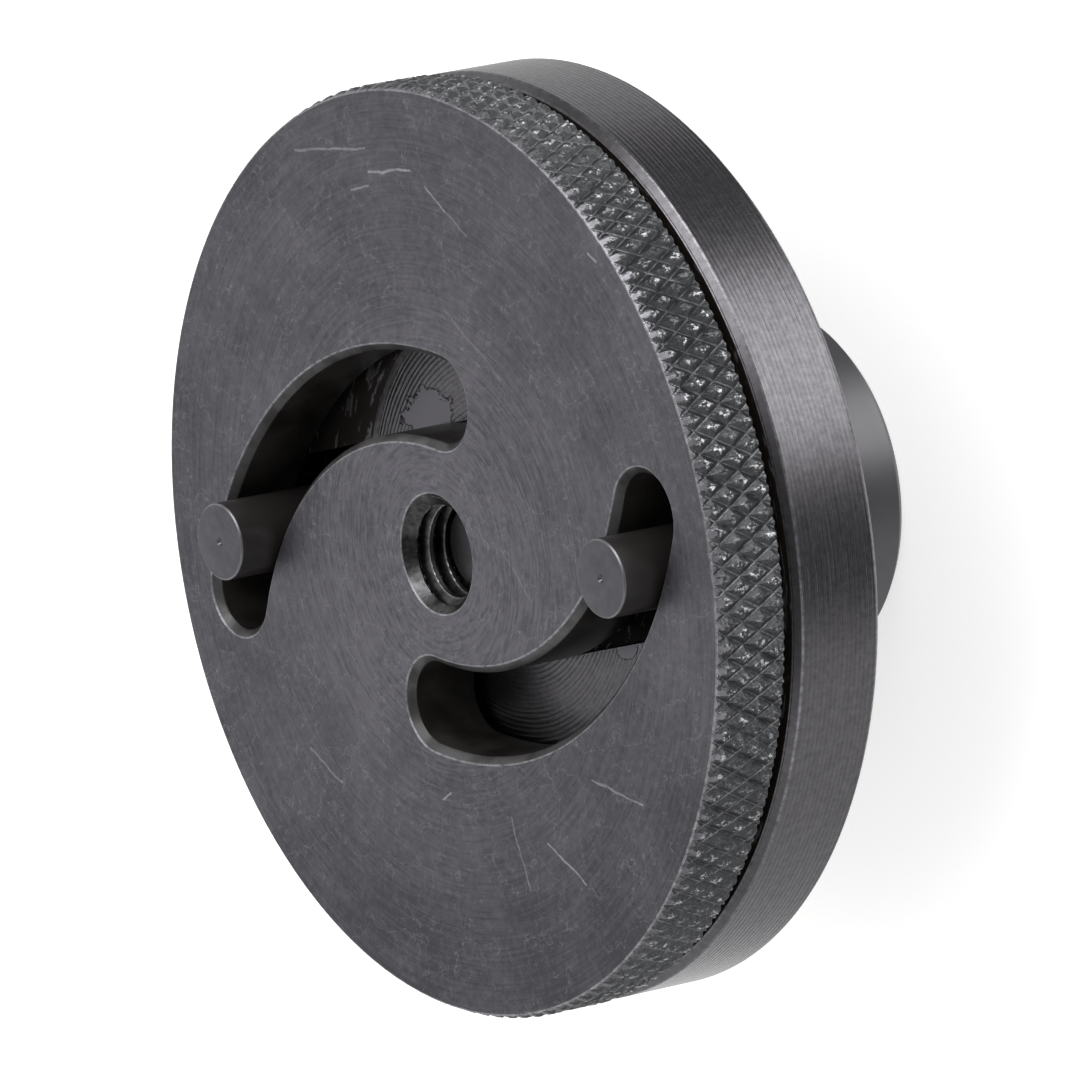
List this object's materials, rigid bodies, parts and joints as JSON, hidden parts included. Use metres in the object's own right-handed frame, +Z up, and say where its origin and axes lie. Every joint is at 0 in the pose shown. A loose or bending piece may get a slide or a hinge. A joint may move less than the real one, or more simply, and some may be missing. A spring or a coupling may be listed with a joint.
{
  "type": "two-pin press head",
  "caption": "Round adjustable head of a watch case press: a knurled slotted disc turns on a shanked base and moves two pins in or out.",
  "frame": {"origin": "centre of the shank's end face, on which the head stands", "axes": "+Z up the main axis to the pins, +X along the slide pocket towards the right pin, +Y completes the right-handed set"},
  "size_m": [0.05, 0.05, 0.0259],
  "materials": {
    "turned_black_steel": "turned, black oxide",
    "knurled_black_steel": "turned and diamond knurled, black oxide",
    "pin_steel": "turned, worn black oxide",
    "slide_steel": "milled, black oxide, oiled",
    "washer_brass": "plain",
    "spring_steel": "hardened spring steel",
    "fastener_steel": "black oxide"
  },
  "bodies": {
    "base": {"base": "turned_black_steel", "thrust_washer": "washer_brass"},
    "cam": {"cam_disc": "knurled_black_steel", "retaining_screw": "fastener_steel", "spring_washer": "fastener_steel", "retaining_washer": "fastener_steel", "wave_washer": "spring_steel"},
    "right_slide": {"slide_right": "slide_steel", "pin_right": "pin_steel"},
    "left_slide": {"slide_left": "slide_steel", "pin_left": "pin_steel"}
  },
  "joints": [
    {"name": "cam_turn", "type": "hinge", "parent": "base", "child": "cam", "pos_m": [0, 0, 0.02395], "axis": [0, 0, 1], "range_deg": [-10, 57]},
    {"name": "right_pin_travel", "type": "hinge", "parent": "cam", "child": "right_slide", "pos_m": [0.00362, 0.00954, 0.01895], "axis": [0, 0, 1], "range_deg": [-57, 10]},
    {"name": "left_pin_travel", "type": "hinge", "parent": "cam", "child": "left_slide", "pos_m": [-0.00362, -0.00954, 0.01895], "axis": [0, 0, 1], "range_deg": [-57, 10]}
  ],
  "couplings": [
    {"joint": "right_pin_travel", "follows": "cam_turn", "ratio": -1},
    {"joint": "left_pin_travel", "follows": "cam_turn", "ratio": -1}
  ]
}
